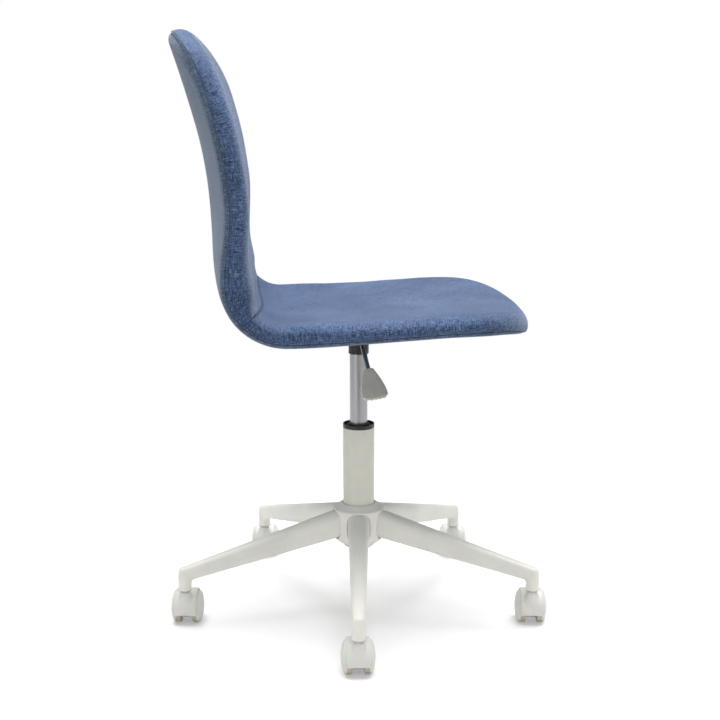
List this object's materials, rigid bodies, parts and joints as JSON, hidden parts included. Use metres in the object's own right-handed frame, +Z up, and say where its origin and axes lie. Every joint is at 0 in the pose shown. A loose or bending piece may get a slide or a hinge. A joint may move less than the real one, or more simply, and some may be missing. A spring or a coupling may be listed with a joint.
{
  "type": "swivel office chair",
  "caption": "Armless swivel office chair: upholstered one-piece seat and back on a gas lift with a height lever, on a five-leg base with twin-wheel casters.",
  "frame": {"origin": "on the swivel axis at floor level", "axes": "+Z up along the swivel axis, +Y towards the back of the seat, the sitter faces -Y, +X to the sitter's left"},
  "size_m": [0.5851, 0.5917, 0.9168],
  "materials": {
    "painted_base": "satin pale grey paint",
    "painted_tube": "satin pale grey paint",
    "greige_plastic": "moulded plastic",
    "caster_plastic": "smooth moulded nylon",
    "wheel_plastic": "smooth moulded nylon",
    "pale_plastic": "smooth moulded plastic",
    "black_plastic": "moulded plastic",
    "black_plate": "satin black paint",
    "black_steel": "blackened steel",
    "steel": "zinc plated",
    "satin_steel": "satin ground steel",
    "rubber": "matte rubber",
    "plywood": "moulded plywood",
    "foam": "cut polyurethane foam",
    "blue_fabric": "woven melange fabric",
    "rear_fabric": "woven melange fabric"
  },
  "bodies": {
    "base": {"hub": "painted_base", "leg_1": "painted_base", "leg_2": "painted_base", "leg_3": "painted_base", "leg_4": "painted_base", "leg_5": "painted_base", "leg_screws": "black_steel", "stem_sockets": "greige_plastic", "grip_rings": "steel", "column_tube": "painted_tube", "guide_bush": "black_plastic", "thrust_bearing": "steel", "caster_1_stem": "steel", "caster_2_stem": "steel", "caster_3_stem": "steel", "caster_4_stem": "steel", "caster_5_stem": "steel"},
    "lift_rod": {"piston_rod": "steel", "piston": "black_plastic", "retaining_clip": "steel", "bump_stop": "rubber"},
    "seat": {"pressure_tube": "satin_steel", "mounting_plate": "black_plate", "lever_pin": "steel", "plate_screws": "steel", "tee_nuts": "steel", "shell": "plywood", "foam": "foam", "cover_outer": "rear_fabric", "cover_seat": "blue_fabric", "cover_back": "blue_fabric"},
    "lever": {"lever_rod": "satin_steel", "lever_paddle": "pale_plastic"},
    "release_pin": {"valve_pin": "steel"},
    "caster_1_fork": {"caster_1_hood": "caster_plastic", "caster_1_axle": "steel"},
    "caster_1_wheel_left_body": {"caster_1_wheel_left": "wheel_plastic"},
    "caster_1_wheel_right_body": {"caster_1_wheel_right": "wheel_plastic"},
    "caster_2_fork": {"caster_2_hood": "caster_plastic", "caster_2_axle": "steel"},
    "caster_2_wheel_left_body": {"caster_2_wheel_left": "wheel_plastic"},
    "caster_2_wheel_right_body": {"caster_2_wheel_right": "wheel_plastic"},
    "caster_3_fork": {"caster_3_hood": "caster_plastic", "caster_3_axle": "steel"},
    "caster_3_wheel_left_body": {"caster_3_wheel_left": "wheel_plastic"},
    "caster_3_wheel_right_body": {"caster_3_wheel_right": "wheel_plastic"},
    "caster_4_fork": {"caster_4_hood": "caster_plastic", "caster_4_axle": "steel"},
    "caster_4_wheel_left_body": {"caster_4_wheel_left": "wheel_plastic"},
    "caster_4_wheel_right_body": {"caster_4_wheel_right": "wheel_plastic"},
    "caster_5_fork": {"caster_5_hood": "caster_plastic", "caster_5_axle": "steel"},
    "caster_5_wheel_left_body": {"caster_5_wheel_left": "wheel_plastic"},
    "caster_5_wheel_right_body": {"caster_5_wheel_right": "wheel_plastic"}
  },
  "joints": [
    {"name": "seat_swivel", "type": "hinge", "parent": "base", "child": "lift_rod", "pos_m": [0, 0, 0.119], "axis": [0, 0, 1], "continuous": true},
    {"name": "seat_height", "type": "slide", "parent": "lift_rod", "child": "seat", "axis": [0, 0, 1], "range_m": [-0.1, 0]},
    {"name": "lever_pull", "type": "hinge", "parent": "seat", "child": "lever", "pos_m": [-0.03199, 0.00084, 0.4552], "axis": [0.0262, 0.9997, 0], "range_deg": [0, 5], "stiffness_Nm_per_rad": 20, "springref_deg": -0.57},
    {"name": "pin_press", "type": "slide", "parent": "seat", "child": "release_pin", "axis": [0, 0, -1], "range_m": [0, 0.0032]},
    {"name": "caster_1_swivel", "type": "hinge", "parent": "base", "child": "caster_1_fork", "pos_m": [-0.28527, 0.02045, 0.056], "axis": [0, 0, 1], "continuous": true},
    {"name": "caster_1_spin_left", "type": "hinge", "parent": "caster_1_fork", "child": "caster_1_wheel_left_body", "pos_m": [-0.26527, 0.01992, 0.025], "axis": [-0.0262, -0.9997, 0], "continuous": true},
    {"name": "caster_1_spin_right", "type": "hinge", "parent": "caster_1_fork", "child": "caster_1_wheel_right_body", "pos_m": [-0.26527, 0.01992, 0.025], "axis": [-0.0262, -0.9997, 0], "continuous": true},
    {"name": "caster_2_swivel", "type": "hinge", "parent": "base", "child": "caster_2_fork", "pos_m": [-0.1076, -0.26499, 0.056], "axis": [0, 0, 1], "continuous": true},
    {"name": "caster_2_spin_left", "type": "hinge", "parent": "caster_2_fork", "child": "caster_2_wheel_left_body", "pos_m": [-0.0877, -0.26701, 0.025], "axis": [-0.1011, -0.9949, 0], "continuous": true},
    {"name": "caster_2_spin_right", "type": "hinge", "parent": "caster_2_fork", "child": "caster_2_wheel_right_body", "pos_m": [-0.0877, -0.26701, 0.025], "axis": [-0.1011, -0.9949, 0], "continuous": true},
    {"name": "caster_3_swivel", "type": "hinge", "parent": "base", "child": "caster_3_fork", "pos_m": [0.21877, -0.18422, 0.056], "axis": [0, 0, 1], "continuous": true},
    {"name": "caster_3_spin_left", "type": "hinge", "parent": "caster_3_fork", "child": "caster_3_wheel_left_body", "pos_m": [0.23869, -0.18596, 0.025], "axis": [-0.0872, -0.9962, 0], "continuous": true},
    {"name": "caster_3_spin_right", "type": "hinge", "parent": "caster_3_fork", "child": "caster_3_wheel_right_body", "pos_m": [0.23869, -0.18596, 0.025], "axis": [-0.0872, -0.9962, 0], "continuous": true},
    {"name": "caster_4_swivel", "type": "hinge", "parent": "base", "child": "caster_4_fork", "pos_m": [0.24281, 0.15113, 0.056], "axis": [0, 0, 1], "continuous": true},
    {"name": "caster_4_spin_left", "type": "hinge", "parent": "caster_4_fork", "child": "caster_4_wheel_left_body", "pos_m": [0.26273, 0.14939, 0.025], "axis": [-0.0872, -0.9962, 0], "continuous": true},
    {"name": "caster_4_spin_right", "type": "hinge", "parent": "caster_4_fork", "child": "caster_4_wheel_right_body", "pos_m": [0.26273, 0.14939, 0.025], "axis": [-0.0872, -0.9962, 0], "continuous": true},
    {"name": "caster_5_swivel", "type": "hinge", "parent": "base", "child": "caster_5_fork", "pos_m": [-0.06871, 0.27763, 0.056], "axis": [0, 0, 1], "continuous": true},
    {"name": "caster_5_spin_left", "type": "hinge", "parent": "caster_5_fork", "child": "caster_5_wheel_left_body", "pos_m": [-0.04885, 0.27519, 0.025], "axis": [-0.1219, -0.9925, 0], "continuous": true},
    {"name": "caster_5_spin_right", "type": "hinge", "parent": "caster_5_fork", "child": "caster_5_wheel_right_body", "pos_m": [-0.04885, 0.27519, 0.025], "axis": [-0.1219, -0.9925, 0], "continuous": true}
  ],
  "couplings": [
    {"joint": "pin_press", "follows": "lever_pull", "m_per_rad": 0.032}
  ]
}
